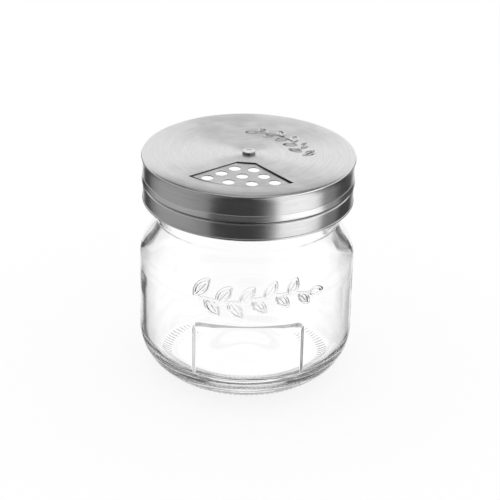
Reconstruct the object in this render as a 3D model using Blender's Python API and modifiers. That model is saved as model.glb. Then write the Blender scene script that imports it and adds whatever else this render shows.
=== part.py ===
# Squat screw-top glass jar with a twist-top shaker lid.
# Metres, +Z up. The origin is the centre of the ring that the jar stands on, and the jar's
# label panel faces -Y.

from math import atan2, cos, hypot, pi, radians, sin, sqrt, tan

import bmesh
import bpy

MM = 0.001

# Finish of the glass: the threaded mouth that the lid screws onto
MOUTH_BORE_RADIUS = 32.0 * MM
FINISH_WALL = 3.7 * MM
FINISH_HEIGHT = 15.7 * MM
MOUTH_ROUND = 1.2 * MM
THREAD_DEPTH = 1.2 * MM
THREAD_PITCH = 5.0 * MM
GLASS_THREAD_ROUND = 1.6 * MM
THREAD_BELOW_MOUTH = 2.9 * MM

# Neck and body of the glass
BEAD_DEPTH = 1.2 * MM
BEAD_HEIGHT = 5.5 * MM
BEAD_SLOPE = 0.8 * MM
WAIST_INSET = 0.9 * MM
SHOULDER_REACH = 5.1 * MM
SHOULDER_HEIGHT = 16.3 * MM
BODY_HEIGHT = 49.4 * MM
BODY_WALL = 2.4 * MM
HEEL_RADIUS = 17.9 * MM
INNER_HEEL_RADIUS = 12.0 * MM
FLOOR_THICKNESS = 5.0 * MM
BEARING_WIDTH = 3.0 * MM
PUSH_UP = 1.6 * MM
PUSH_UP_SLOPE = 16.0 * MM
INNER_SHOULDER_BELOW_OUTER = 2.2 * MM
INNER_NECK_BELOW_BEAD = 1.3 * MM

# Label panel: a raised pad whose face is flatter than the wall round it
PANEL_WIDTH = 43.0 * MM
PANEL_HEEL_LAP = 4.7 * MM
PANEL_BELOW_SHOULDER = 12.2 * MM
PANEL_PROUD = 0.6 * MM
PANEL_FACE_RADIUS = 76.0 * MM
PANEL_CORNER = 3.2 * MM

# Sheet steel and the play between pieces that touch
SHEET = 0.4 * MM
PLAY = 0.3 * MM
GLIDE_PLAY = 0.2 * MM
THREAD_CLEARANCE = 0.4 * MM

# Seal and threaded insert
SEAL_THICKNESS = 1.6 * MM
SEAL_LAP = 0.4 * MM
INSERT_WALL = 1.8 * MM
INSERT_THREAD_ROUND = 1.2 * MM
INSERT_THREAD_TURNS = 1.2
INSERT_THREAD_LAND = 0.55 * MM
INSERT_FOOT_HEIGHT = 1.6 * MM

# Screw cap: perforated deck, hidden wall, grip band and hem
CAP_ABOVE_BEAD = 0.85 * MM
CAP_CORNER = 1.2 * MM
DECK_RISE = 0.3 * MM
DECK_STEP_WIDTH = 0.6 * MM
DECK_LAND = 0.35 * MM
BAND_STEP = 1.1 * MM
BAND_STEP_HEIGHT = 0.9 * MM
GROOVE_GAP = 0.5 * MM
HEM_PROUD = 0.15 * MM
HEM_HEIGHT = 1.1 * MM
HEM_LIP = 1.1 * MM

# Holes in the deck, as three stations under the window: coarse, fine and closed
STATION_ANGLE = radians(-8.0)
STATION_STEP = radians(120.0)
HOLES_INSIDE_SEAL = 0.95 * MM
COARSE_HOLE_RADIUS = 2.35 * MM
COARSE_ROW_STEP = 6.45 * MM
COARSE_ROWS = ((2, radians(27.1)), (3, radians(21.7)), (4, radians(17.8)))
FINE_HOLE_RADIUS = 1.0 * MM
FINE_ROW_STEP = 4.7 * MM
FINE_ROWS = ((3, radians(20.5)), (4, radians(15.6)), (5, radians(12.6)), (6, radians(10.6)))

# Dial cover: turning top with the window
DIAL_HEIGHT = 10.8 * MM
RIM_PROUD = 0.6 * MM
RIM_ROUND = 0.6 * MM
BEAD_TOP_BELOW_DIAL = 8.2 * MM
DIAL_BEAD_PROUD = 0.45 * MM
DIAL_CURL = 0.5 * MM
WINDOW_HALF_ANGLE = radians(44.5)
WINDOW_INNER_WIDTH = 7.2 * MM
WINDOW_INSIDE_HOLES = 3.75 * MM
WINDOW_OUTSIDE_HOLES = 2.0 * MM

# Pivot: a shouldered rivet with its washers
RIVET_SHANK_RADIUS = 1.9 * MM
RIVET_HEAD_RADIUS = 2.6 * MM
RIVET_HEAD_HEIGHT = 0.8 * MM
RIVET_HEAD_ROUND = 0.25 * MM
RIVET_DIMPLE_RADIUS = 1.6 * MM
RIVET_DIMPLE_DEPTH = 0.25 * MM
RIVET_TAIL_RADIUS = 2.9 * MM
RIVET_TAIL_HEIGHT = 0.8 * MM
GLIDE_WASHER_RADIUS = 6.0 * MM
GLIDE_WASHER_THICKNESS = 0.3 * MM
DISC_SPRING_RADIUS = 5.0 * MM
DISC_SPRING_THICKNESS = 0.35 * MM
DISC_SPRING_CONE = 0.6 * MM
WASHER_RADIUS = 4.4 * MM
WASHER_THICKNESS = 0.6 * MM

# How round the turned pieces and the holes are
LARGE_STEPS = 48
SMALL_STEPS = 24
COARSE_HOLE_STEPS = 16
FINE_HOLE_STEPS = 8

# Radii that follow, outwards from the mouth
THREAD_ROOT_RADIUS = MOUTH_BORE_RADIUS + FINISH_WALL
THREAD_CREST_RADIUS = THREAD_ROOT_RADIUS + THREAD_DEPTH
BEAD_RADIUS = THREAD_ROOT_RADIUS + BEAD_DEPTH
WAIST_RADIUS = BEAD_RADIUS - WAIST_INSET
BODY_RADIUS = BEAD_RADIUS + SHOULDER_REACH
INNER_RADIUS = BODY_RADIUS - BODY_WALL
INSERT_BORE_RADIUS = THREAD_CREST_RADIUS + THREAD_CLEARANCE
INSERT_RADIUS = INSERT_BORE_RADIUS + INSERT_WALL
CAP_WALL_RADIUS = INSERT_RADIUS + PLAY + SHEET
BAND_RADIUS = CAP_WALL_RADIUS + BAND_STEP
PIVOT_HOLE_RADIUS = RIVET_SHANK_RADIUS + PLAY
SEAL_INNER_RADIUS = MOUTH_BORE_RADIUS - SEAL_LAP
HOLES_EDGE = SEAL_INNER_RADIUS - HOLES_INSIDE_SEAL
RAISED_RADIUS = HOLES_EDGE + DECK_LAND
WINDOW_OUTER = HOLES_EDGE + WINDOW_OUTSIDE_HOLES
COARSE_FIRST_ROW = HOLES_EDGE - COARSE_HOLE_RADIUS - COARSE_ROW_STEP * (len(COARSE_ROWS) - 1)
FINE_FIRST_ROW = HOLES_EDGE - FINE_HOLE_RADIUS - FINE_ROW_STEP * (len(FINE_ROWS) - 1)
WINDOW_INNER = COARSE_FIRST_ROW - COARSE_HOLE_RADIUS - WINDOW_INSIDE_HOLES
WINDOW_APEX = WINDOW_INNER - WINDOW_INNER_WIDTH / 2 / tan(WINDOW_HALF_ANGLE)

# Heights that follow, upwards from the ground
BEAD_LOW = BODY_HEIGHT + SHOULDER_HEIGHT
BEAD_TOP = BEAD_LOW + BEAD_HEIGHT
MOUTH = BEAD_TOP + FINISH_HEIGHT
FLOOR = PUSH_UP + FLOOR_THICKNESS
PANEL_LOW = HEEL_RADIUS - PANEL_HEEL_LAP
PANEL_HEIGHT = BODY_HEIGHT - PANEL_BELOW_SHOULDER - PANEL_LOW
SEAL_LOW = MOUTH + PLAY
SEAL_TOP = SEAL_LOW + SEAL_THICKNESS
DECK_LOW = SEAL_TOP + PLAY
DECK_TOP = DECK_LOW + SHEET
RAISED_TOP = DECK_TOP + DECK_RISE
GLIDE_LOW = DECK_TOP + GLIDE_PLAY
GLIDE_TOP = GLIDE_LOW + GLIDE_WASHER_THICKNESS
DIAL_LOW = GLIDE_TOP + GLIDE_PLAY
DIAL_TOP = DIAL_LOW + SHEET
DIAL_SKIRT_LOW = DIAL_TOP - DIAL_HEIGHT
BAND_TOP = DIAL_SKIRT_LOW - GROOVE_GAP
CAP_LOW = BEAD_TOP + CAP_ABOVE_BEAD
INSERT_LOW = CAP_LOW + SHEET + PLAY
INSERT_TOP = DECK_LOW - PLAY
INSERT_THREAD_LOW = INSERT_LOW + INSERT_THREAD_ROUND + INSERT_THREAD_LAND
GLASS_THREAD_LOW = INSERT_THREAD_LOW + THREAD_PITCH / 2
GLASS_THREAD_TURNS = (MOUTH - THREAD_BELOW_MOUTH - GLASS_THREAD_LOW) / THREAD_PITCH
RIVET_HEAD_LOW = DIAL_TOP + GLIDE_PLAY
SPRING_TOP = DECK_LOW - GLIDE_PLAY
WASHER_TOP = SPRING_TOP - DISC_SPRING_CONE - DISC_SPRING_THICKNESS - GLIDE_PLAY
RIVET_TAIL_TOP = WASHER_TOP - WASHER_THICKNESS - GLIDE_PLAY


def clear_scene():
    for obj in list(bpy.data.objects):
        bpy.data.objects.remove(obj, do_unlink=True)


def new_collection(name):
    made = bpy.data.collections.new(name)
    bpy.context.scene.collection.children.link(made)
    return made


clear_scene()
PARTS = new_collection("shaker_jar")
CUTTERS = new_collection("cutters")
CUTTERS.hide_render = True


def new_material(name, color, roughness, metallic=0.0, transmission=0.0):
    made = bpy.data.materials.new(name)
    made.use_nodes = True
    shader = made.node_tree.nodes["Principled BSDF"]
    shader.inputs["Base Color"].default_value = (*color, 1.0)
    shader.inputs["Roughness"].default_value = roughness
    shader.inputs["Metallic"].default_value = metallic
    shader.inputs["Transmission Weight"].default_value = transmission
    made.diffuse_color = (*color, 1.0)
    return made


def arc(center_r, center_z, radius_r, radius_z, start, end, steps):
    """Points of an elliptic arc in the profile plane, from start to end in degrees."""
    points = []
    for i in range(steps + 1):
        angle = radians(start + (end - start) * i / steps)
        points.append((center_r + radius_r * cos(angle), center_z + radius_z * sin(angle)))
    return points


def s_curve(start, end, steps):
    """Points from start to end whose radius changes smoothly, leaving and arriving upright."""
    points = []
    for i in range(steps + 1):
        t = i / steps
        blend = t * t * (3 - 2 * t)
        points.append((start[0] + (end[0] - start[0]) * blend, start[1] + (end[1] - start[1]) * t))
    return points


def link(obj, collection, finish=None):
    collection.objects.link(obj)
    if finish:
        obj.data.materials.append(finish)
    if collection is CUTTERS:
        obj.hide_render = True
        obj.display_type = "WIRE"
    return obj


def profile_object(name, profile, collection, finish=None, closed=False):
    """A line of points in the XZ plane, at +X of the turning axis."""
    distinct = [profile[0]]
    for point in profile[1:]:
        if hypot(point[0] - distinct[-1][0], point[1] - distinct[-1][1]) > 1e-7:
            distinct.append(point)
    edges = [(i, i + 1) for i in range(len(distinct) - 1)]
    if closed:
        edges.append((len(distinct) - 1, 0))
    mesh = bpy.data.meshes.new(name)
    mesh.from_pydata([(r, 0.0, z) for r, z in distinct], edges, [])
    return link(bpy.data.objects.new(name, mesh), collection, finish)


def add_screw(obj, steps):
    screw = obj.modifiers.new("Turn", "SCREW")
    screw.axis = "Z"
    screw.angle = 2 * pi
    screw.steps = steps
    screw.render_steps = steps
    screw.use_merge_vertices = True
    screw.merge_threshold = 1e-6
    screw.use_smooth_shade = True
    return screw


def turned(name, profile, steps, finish=None, collection=PARTS, closed=True):
    """A solid of revolution. A profile that ends on the axis isn't closed by a line."""
    obj = profile_object(name, profile, collection, finish, closed)
    add_screw(obj, steps)
    return obj


def turned_sheet(name, profile, steps, finish):
    """A spun sheet: profile is its outer face, and the sheet's thickness lies behind it."""
    obj = profile_object(name, profile, PARTS, finish)
    add_screw(obj, steps)
    wall = obj.modifiers.new("Sheet", "SOLIDIFY")
    wall.thickness = SHEET
    wall.offset = -1
    wall.use_even_offset = True
    wall.use_rim = True
    return obj


def add_boolean(obj, other, operation):
    cut = obj.modifiers.new(other.name, "BOOLEAN")
    cut.operation = operation
    cut.solver = "EXACT"
    cut.object = other
    return cut


def cylinder_cutter(name, centers, radius, low, high, segments):
    """One cutter that holds an upright cylinder at each centre."""
    bm = bmesh.new()
    for x, y in centers:
        made = bmesh.ops.create_cone(
            bm, cap_ends=True, segments=segments, radius1=radius, radius2=radius, depth=high - low
        )
        bmesh.ops.translate(bm, verts=made["verts"], vec=(x, y, (low + high) / 2))
    mesh = bpy.data.meshes.new(name)
    bm.to_mesh(mesh)
    bm.free()
    return link(bpy.data.objects.new(name, mesh), CUTTERS)


def mesh_from_curve(curve_object, name):
    """The curve's evaluated solid as a mesh with its caps welded, in the cutters' collection."""
    bpy.context.view_layer.update()
    graph = bpy.context.evaluated_depsgraph_get()
    mesh = bpy.data.meshes.new_from_object(curve_object.evaluated_get(graph))
    bm = bmesh.new()
    bm.from_mesh(mesh)
    bmesh.ops.remove_doubles(bm, verts=bm.verts, dist=1e-6)
    bmesh.ops.recalc_face_normals(bm, faces=bm.faces)
    bm.to_mesh(mesh)
    bm.free()
    matrix = curve_object.matrix_world.copy()
    bpy.data.objects.remove(curve_object, do_unlink=True)
    obj = link(bpy.data.objects.new(name, mesh), CUTTERS)
    obj.matrix_world = matrix
    return obj


def curve_object(name, points, cyclic, dimensions):
    curve = bpy.data.curves.new(name, "CURVE")
    curve.dimensions = dimensions
    spline = curve.splines.new("POLY")
    spline.points.add(len(points) - 1)
    for spline_point, point in zip(spline.points, points):
        spline_point.co = (*point[:3], 1.0)
        spline_point.radius = point[3] if len(point) > 3 else 1.0
    spline.use_cyclic_u = cyclic
    obj = bpy.data.objects.new(name, curve)
    CUTTERS.objects.link(obj)
    return obj


def outline_solid(name, outline, thickness):
    """A flat outline in XY, extruded by thickness, half to each side."""
    obj = curve_object(name + "_curve", [(x, y, 0.0) for x, y in outline], True, "2D")
    obj.data.fill_mode = "BOTH"
    obj.data.extrude = thickness / 2
    return obj


def helix_ridge(name, radius, tube, start_z, turns):
    """A right-hand thread: a round ridge that climbs one pitch each turn and fades at its ends."""
    count = int(LARGE_STEPS * turns)
    fade = LARGE_STEPS // 6
    thin = 0.35
    points = []
    for i in range(count + 1):
        angle = 2 * pi * turns * i / count
        swell = thin + (1 - thin) * min(1.0, min(i, count - i) / fade)
        z = start_z + THREAD_PITCH * angle / (2 * pi)
        points.append((radius * cos(angle), radius * sin(angle), z, swell))
    obj = curve_object(name + "_curve", points, False, "3D")
    obj.data.bevel_depth = tube
    obj.data.bevel_resolution = 2
    obj.data.use_fill_caps = True
    return mesh_from_curve(obj, name)


# The glass


def glass_outer_profile():
    """From the top of the rim down the outside and in under the base to the axis."""
    bearing_out = BODY_RADIUS - HEEL_RADIUS
    bearing_in = bearing_out - BEARING_WIDTH
    points = arc(THREAD_ROOT_RADIUS - MOUTH_ROUND, MOUTH - MOUTH_ROUND, MOUTH_ROUND, MOUTH_ROUND, 90, 0, 3)
    points.append((THREAD_ROOT_RADIUS, BEAD_TOP + BEAD_SLOPE))
    points.append((BEAD_RADIUS, BEAD_TOP))
    points += arc(WAIST_RADIUS, BEAD_LOW + WAIST_INSET, WAIST_INSET, WAIST_INSET, 0, -90, 2)
    points += s_curve((WAIST_RADIUS, BEAD_LOW), (BODY_RADIUS, BODY_HEIGHT), 9)
    points += arc(bearing_out, HEEL_RADIUS, HEEL_RADIUS, HEEL_RADIUS, 0, -90, 8)
    points.append((bearing_in, 0.0))
    points.append((bearing_in - PUSH_UP_SLOPE, PUSH_UP))
    points.append((0.0, PUSH_UP))
    return points


def glass_inner_profile():
    """From the axis across the floor and up the inside to the rim."""
    low = BODY_HEIGHT - INNER_SHOULDER_BELOW_OUTER
    high = BEAD_LOW - INNER_NECK_BELOW_BEAD
    floor_edge = INNER_RADIUS - INNER_HEEL_RADIUS
    points = [(0.0, FLOOR)]
    points += arc(floor_edge, FLOOR + INNER_HEEL_RADIUS, INNER_HEEL_RADIUS, INNER_HEEL_RADIUS, -90, 0, 6)
    points += s_curve((INNER_RADIUS, low), (MOUTH_BORE_RADIUS, high), 8)
    points += arc(MOUTH_BORE_RADIUS + MOUTH_ROUND, MOUTH - MOUTH_ROUND, MOUTH_ROUND, MOUTH_ROUND, 180, 90, 3)
    return points


def panel_pad():
    """The label panel's pad, reaching halfway into the wall behind it."""
    half_w = PANEL_WIDTH / 2
    half_h = PANEL_HEIGHT / 2
    outline = []
    for x, z, start in ((1, 1, 0), (-1, 1, 90), (-1, -1, 180), (1, -1, 270)):
        corner = (x * (half_w - PANEL_CORNER), z * (half_h - PANEL_CORNER))
        outline += arc(*corner, PANEL_CORNER, PANEL_CORNER, start, start + 90, 4)
    face_y = BODY_RADIUS + PANEL_PROUD
    block = outline_solid("panel_block", outline, face_y)
    block.rotation_euler = (pi / 2, 0.0, 0.0)
    block.location = (0.0, -face_y / 2, PANEL_LOW + half_h)
    pad = mesh_from_curve(block, "panel_pad")
    low = PANEL_LOW - PANEL_HEIGHT
    high = PANEL_LOW + 2 * PANEL_HEIGHT
    face_center = (0.0, PANEL_FACE_RADIUS - face_y)
    face = cylinder_cutter("panel_face", [face_center], PANEL_FACE_RADIUS, low, high, 3 * LARGE_STEPS)
    core_radius = BODY_RADIUS - BODY_WALL / 2
    core = cylinder_cutter("panel_core", [(0.0, 0.0)], core_radius, low, high, LARGE_STEPS)
    add_boolean(pad, face, "INTERSECT")
    add_boolean(pad, core, "DIFFERENCE")
    return pad


def make_glass_jar():
    glass = new_material("clear_glass", (0.95, 0.97, 0.96), 0.02, transmission=1.0)
    profile = glass_inner_profile() + glass_outer_profile()
    jar = turned("glass_jar", profile, LARGE_STEPS, glass, closed=False)
    ridge_center = THREAD_CREST_RADIUS - GLASS_THREAD_ROUND
    tube = GLASS_THREAD_ROUND
    thread = helix_ridge("glass_thread", ridge_center, tube, GLASS_THREAD_LOW, GLASS_THREAD_TURNS)
    add_boolean(jar, thread, "UNION")
    add_boolean(jar, panel_pad(), "UNION")
    return jar


# The lid: seal, threaded insert, screw cap, dial cover and pivot


def make_seal_ring():
    silicone = new_material("seal_silicone", (0.86, 0.87, 0.87), 0.55)
    outer = INSERT_BORE_RADIUS - PLAY
    profile = [
        (SEAL_INNER_RADIUS, SEAL_TOP),
        (outer, SEAL_TOP),
        (outer, SEAL_LOW),
        (SEAL_INNER_RADIUS, SEAL_LOW),
    ]
    return turned("seal_ring", profile, LARGE_STEPS, silicone)


def make_thread_insert():
    moulded = new_material("insert_plastic", (0.88, 0.88, 0.87), 0.4)
    foot = BAND_RADIUS - SHEET - PLAY
    profile = [
        (INSERT_BORE_RADIUS, INSERT_TOP),
        (INSERT_RADIUS, INSERT_TOP),
        (INSERT_RADIUS, INSERT_LOW + INSERT_FOOT_HEIGHT + (foot - INSERT_RADIUS)),
        (foot, INSERT_LOW + INSERT_FOOT_HEIGHT),
        (foot, INSERT_LOW),
        (INSERT_BORE_RADIUS, INSERT_LOW),
    ]
    insert = turned("thread_insert", profile, LARGE_STEPS, moulded)
    tube = INSERT_THREAD_ROUND
    thread = helix_ridge("insert_thread", INSERT_BORE_RADIUS, tube, INSERT_THREAD_LOW, INSERT_THREAD_TURNS)
    add_boolean(insert, thread, "UNION")
    return insert


def polar(radius, angle):
    """A point at this angle from straight front, positive towards +X."""
    return (radius * sin(angle), -radius * cos(angle))


def station_holes(station_angle, first_row, row_step, rows):
    """Centres of the holes in rows round the pivot: each row has a count and an angle between holes."""
    centers = []
    for row, (count, step) in enumerate(rows):
        for i in range(count):
            angle = station_angle + step * (i - (count - 1) / 2)
            centers.append(polar(first_row + row_step * row, angle))
    return centers


def make_screw_cap():
    steel = new_material("cap_steel", (0.62, 0.62, 0.63), 0.3, metallic=1.0)
    hem_radius = BAND_RADIUS + HEM_PROUD
    hem_round = HEM_HEIGHT / 2
    recess = GLIDE_WASHER_RADIUS + PLAY
    profile = [
        (PIVOT_HOLE_RADIUS, DECK_TOP),
        (recess, DECK_TOP),
        (recess + DECK_STEP_WIDTH, RAISED_TOP),
        (RAISED_RADIUS, RAISED_TOP),
        (RAISED_RADIUS + DECK_STEP_WIDTH, DECK_TOP),
    ]
    profile += arc(CAP_WALL_RADIUS - CAP_CORNER, DECK_TOP - CAP_CORNER, CAP_CORNER, CAP_CORNER, 90, 0, 3)
    profile.append((CAP_WALL_RADIUS, BAND_TOP))
    profile += arc(CAP_WALL_RADIUS, BAND_TOP - BAND_STEP_HEIGHT, BAND_STEP, BAND_STEP_HEIGHT, 90, 0, 3)[1:]
    profile.append((BAND_RADIUS, CAP_LOW + HEM_HEIGHT + HEM_PROUD))
    profile.append((hem_radius, CAP_LOW + HEM_HEIGHT))
    profile += arc(hem_radius - hem_round, CAP_LOW + hem_round, hem_round, hem_round, 0, -90, 3)
    profile.append((BAND_RADIUS - HEM_LIP, CAP_LOW))
    cap = turned_sheet("screw_cap", profile, LARGE_STEPS, steel)
    low = DECK_LOW - SHEET
    high = RAISED_TOP + SHEET
    coarse = station_holes(STATION_ANGLE, COARSE_FIRST_ROW, COARSE_ROW_STEP, COARSE_ROWS)
    fine = station_holes(STATION_ANGLE + STATION_STEP, FINE_FIRST_ROW, FINE_ROW_STEP, FINE_ROWS)
    for name, centers, radius, steps in (
        ("coarse_holes", coarse, COARSE_HOLE_RADIUS, COARSE_HOLE_STEPS),
        ("fine_holes", fine, FINE_HOLE_RADIUS, FINE_HOLE_STEPS),
    ):
        add_boolean(cap, cylinder_cutter(name, centers, radius, low, high, steps), "DIFFERENCE")
    return cap


def window_outline():
    """A wedge that opens from an apex off the pivot, cut across near the pivot and round outside."""
    reach = WINDOW_APEX * cos(WINDOW_HALF_ANGLE)
    side = -reach + sqrt(reach**2 + WINDOW_OUTER**2 - WINDOW_APEX**2)
    half_outer = atan2(side * sin(WINDOW_HALF_ANGLE), WINDOW_APEX + side * cos(WINDOW_HALF_ANGLE))
    steps = 12
    local = [(-WINDOW_INNER_WIDTH / 2, WINDOW_INNER), (WINDOW_INNER_WIDTH / 2, WINDOW_INNER)]
    for i in range(steps + 1):
        angle = half_outer - 2 * half_outer * i / steps
        local.append((WINDOW_OUTER * sin(angle), WINDOW_OUTER * cos(angle)))
    outline = []
    for across, along in local:
        outline.append(polar(hypot(across, along), STATION_ANGLE + atan2(across, along)))
    return outline


def make_dial_cover():
    steel = new_material("dial_steel", (0.66, 0.66, 0.67), 0.28, metallic=1.0)
    rim = BAND_RADIUS + RIM_PROUD
    bead_top = DIAL_TOP - BEAD_TOP_BELOW_DIAL
    bead_half = (bead_top - DIAL_SKIRT_LOW) / 2
    profile = [(PIVOT_HOLE_RADIUS, DIAL_TOP)]
    profile += arc(rim - RIM_ROUND, DIAL_TOP - RIM_ROUND, RIM_ROUND, RIM_ROUND, 90, -45, 4)
    profile.append((BAND_RADIUS, DIAL_TOP - 2 * RIM_ROUND - RIM_PROUD / 2))
    profile.append((BAND_RADIUS, bead_top))
    profile += arc(BAND_RADIUS, bead_top - bead_half, DIAL_BEAD_PROUD, bead_half, 60, -90, 5)
    profile.append((BAND_RADIUS - DIAL_CURL, DIAL_SKIRT_LOW))
    dial = turned_sheet("dial_cover", profile, LARGE_STEPS, steel)
    window = outline_solid("window", window_outline(), 8 * SHEET)
    window.location = (0.0, 0.0, DIAL_TOP - SHEET / 2)
    add_boolean(dial, mesh_from_curve(window, "window_cutter"), "DIFFERENCE")
    return dial


def make_pivot_rivet():
    steel = new_material("rivet_steel", (0.6, 0.6, 0.61), 0.22, metallic=1.0)
    head_top = RIVET_HEAD_LOW + RIVET_HEAD_HEIGHT
    rounding = RIVET_HEAD_ROUND
    profile = [
        (0.0, head_top - RIVET_DIMPLE_DEPTH),
        (RIVET_DIMPLE_RADIUS - RIVET_DIMPLE_DEPTH, head_top - RIVET_DIMPLE_DEPTH),
        (RIVET_DIMPLE_RADIUS, head_top),
    ]
    profile += arc(RIVET_HEAD_RADIUS - rounding, head_top - rounding, rounding, rounding, 90, 0, 3)
    profile.append((RIVET_HEAD_RADIUS, RIVET_HEAD_LOW))
    profile.append((RIVET_SHANK_RADIUS, RIVET_HEAD_LOW))
    profile.append((RIVET_SHANK_RADIUS, RIVET_TAIL_TOP))
    profile.append((RIVET_TAIL_RADIUS, RIVET_TAIL_TOP))
    profile.append((RIVET_TAIL_RADIUS, RIVET_TAIL_TOP - RIVET_TAIL_HEIGHT / 2))
    profile.append((RIVET_SHANK_RADIUS, RIVET_TAIL_TOP - RIVET_TAIL_HEIGHT))
    profile.append((0.0, RIVET_TAIL_TOP - RIVET_TAIL_HEIGHT))
    return turned("pivot_rivet", profile, SMALL_STEPS, steel, closed=False)


def make_washer(name, outer, top, low, finish, cone=0.0):
    """A flat washer, or a coned one whose outer edge lies below its inner one."""
    profile = [
        (PIVOT_HOLE_RADIUS, top),
        (outer, top - cone),
        (outer, low - cone),
        (PIVOT_HOLE_RADIUS, low),
    ]
    return turned(name, profile, SMALL_STEPS, finish)


def make_washers():
    nylon = new_material("glide_nylon", (0.9, 0.9, 0.88), 0.45)
    spring_steel = new_material("spring_steel", (0.5, 0.5, 0.52), 0.35, metallic=1.0)
    washer_steel = new_material("washer_steel", (0.58, 0.58, 0.6), 0.35, metallic=1.0)
    make_washer("glide_washer", GLIDE_WASHER_RADIUS, GLIDE_TOP, GLIDE_LOW, nylon)
    spring_low = SPRING_TOP - DISC_SPRING_THICKNESS
    make_washer("disc_spring", DISC_SPRING_RADIUS, SPRING_TOP, spring_low, spring_steel, DISC_SPRING_CONE)
    make_washer("retaining_washer", WASHER_RADIUS, WASHER_TOP, WASHER_TOP - WASHER_THICKNESS, washer_steel)


def main():
    make_glass_jar()
    make_seal_ring()
    make_thread_insert()
    make_screw_cap()
    make_dial_cover()
    make_pivot_rivet()
    make_washers()


main()
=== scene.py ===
from math import atan2, ceil, cos, degrees, hypot, pi, radians, sin, sqrt

import bmesh
import bpy
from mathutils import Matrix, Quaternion, Vector


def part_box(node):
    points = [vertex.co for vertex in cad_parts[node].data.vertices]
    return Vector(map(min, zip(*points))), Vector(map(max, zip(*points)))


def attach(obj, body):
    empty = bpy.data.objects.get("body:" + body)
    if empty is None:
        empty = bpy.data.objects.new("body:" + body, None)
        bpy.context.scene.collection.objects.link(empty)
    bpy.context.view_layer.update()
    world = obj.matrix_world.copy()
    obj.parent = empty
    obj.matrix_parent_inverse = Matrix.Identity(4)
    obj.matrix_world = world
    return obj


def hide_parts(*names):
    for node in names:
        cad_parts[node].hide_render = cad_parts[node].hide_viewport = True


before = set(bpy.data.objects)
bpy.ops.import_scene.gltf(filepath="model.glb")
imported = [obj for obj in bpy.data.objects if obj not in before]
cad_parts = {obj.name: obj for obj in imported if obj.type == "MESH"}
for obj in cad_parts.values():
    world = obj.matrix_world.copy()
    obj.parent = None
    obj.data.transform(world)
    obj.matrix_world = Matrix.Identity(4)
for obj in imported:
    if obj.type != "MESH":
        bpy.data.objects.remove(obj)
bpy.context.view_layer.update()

mm = 0.001
scene = bpy.context.scene
scene.view_settings.view_transform = "Standard"
scene.cycles.max_bounces = 32
scene.cycles.transmission_bounces = 32
scene.cycles.glossy_bounces = 24


def boxOf(node):
    low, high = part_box(node)
    return low / mm, high / mm


# Sums with node sockets, for shader trees and geometry trees alike

class Wire:
    def __init__(self, tree, socket):
        self.tree = tree
        self.socket = socket

    def math(self, operation, *others):
        node = self.tree.nodes.new("ShaderNodeMath")
        node.operation = operation
        for slot, value in zip(node.inputs, (self, *others)):
            plug(self.tree, slot, value)
        return Wire(self.tree, node.outputs[0])

    def __add__(self, other):
        return self.math("ADD", other)

    def __radd__(self, other):
        return self.math("ADD", other)

    def __sub__(self, other):
        return self.math("SUBTRACT", other)

    def __rsub__(self, other):
        return number(self.tree, other).math("SUBTRACT", self)

    def __mul__(self, other):
        return self.math("MULTIPLY", other)

    def __rmul__(self, other):
        return self.math("MULTIPLY", other)

    def __truediv__(self, other):
        return self.math("DIVIDE", other)

    def __neg__(self):
        return self.math("MULTIPLY", -1.0)

    def step(self, low, high, first=0.0, last=1.0, kind="SMOOTHSTEP"):
        node = self.tree.nodes.new("ShaderNodeMapRange")
        node.interpolation_type = kind
        for slot, value in zip(node.inputs, (self, low, high, first, last)):
            plug(self.tree, slot, value)
        return Wire(self.tree, node.outputs[0])


def plug(tree, slot, value):
    if isinstance(value, Wire):
        tree.links.new(value.socket, slot)
    else:
        slot.default_value = value


def number(tree, value):
    node = tree.nodes.new("ShaderNodeValue")
    node.outputs[0].default_value = value
    return Wire(tree, node.outputs[0])


def addNode(tree, kind, **inputs):
    node = tree.nodes.new(kind)
    for key, value in inputs.items():
        plug(tree, node.inputs[key.replace("_", " ")], value)
    return node


def splitXyz(tree, vector):
    node = tree.nodes.new("ShaderNodeSeparateXYZ")
    tree.links.new(vector, node.inputs[0])
    return [Wire(tree, out) for out in node.outputs]


def joinXyz(tree, x, y, z):
    node = tree.nodes.new("ShaderNodeCombineXYZ")
    for slot, value in zip(node.inputs, (x, y, z)):
        plug(tree, slot, value)
    return Wire(tree, node.outputs[0])


# Rings that are stitched into one closed skin

def evenAngles(count):
    return [-pi + 2 * pi * i / count for i in range(count)]


def spanAngles(*spans):  # spans of bearings in degrees, each with a step of its own
    angles = []
    for first, last, step in spans:
        count = ceil((last - first) / step)
        angles += [first + (last - first) * i / count for i in range(count)]
    return sorted((radians(a) + pi) % (2 * pi) - pi for a in angles)


def blendTo(first, second, share):  # of numbers, or of sockets
    return first + (second - first) * share


def arcPath(centre, radii, start, end, step):
    (cr, cz), (rr, rz) = centre, radii
    count = max(2, ceil(abs(radians(end - start)) * max(rr, rz) / step))
    path = []
    for i in range(count + 1):
        angle = radians(start + (end - start) * i / count)
        path.append((cr + rr * cos(angle), cz + rz * sin(angle)))
    return path


def roundPath(centre, radius, start, end, step):
    return arcPath(centre, (radius, radius), start, end, step)


def linePath(first, last, step):
    count = max(1, ceil(hypot(last[0] - first[0], last[1] - first[1]) / step))
    return [(first[0] + (last[0] - first[0]) * i / count, first[1] + (last[1] - first[1]) * i / count)
            for i in range(count + 1)]


def easePath(first, last, step):  # an s-curve that is upright at both ends
    count = ceil(hypot(last[0] - first[0], last[1] - first[1]) / step)
    path = []
    for i in range(count + 1):
        t = i / count
        eased = t * t * (3 - 2 * t)
        path.append((blendTo(first[0], last[0], eased), blendTo(first[1], last[1], t)))
    return path


def easePathAcross(first, last, step):  # an s-curve that is level at both ends
    count = ceil(abs(last[0] - first[0]) / step)
    path = []
    for i in range(count + 1):
        t = i / count
        eased = t * t * (3 - 2 * t)
        path.append((blendTo(first[0], last[0], t), blendTo(first[1], last[1], eased)))
    return path


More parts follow.
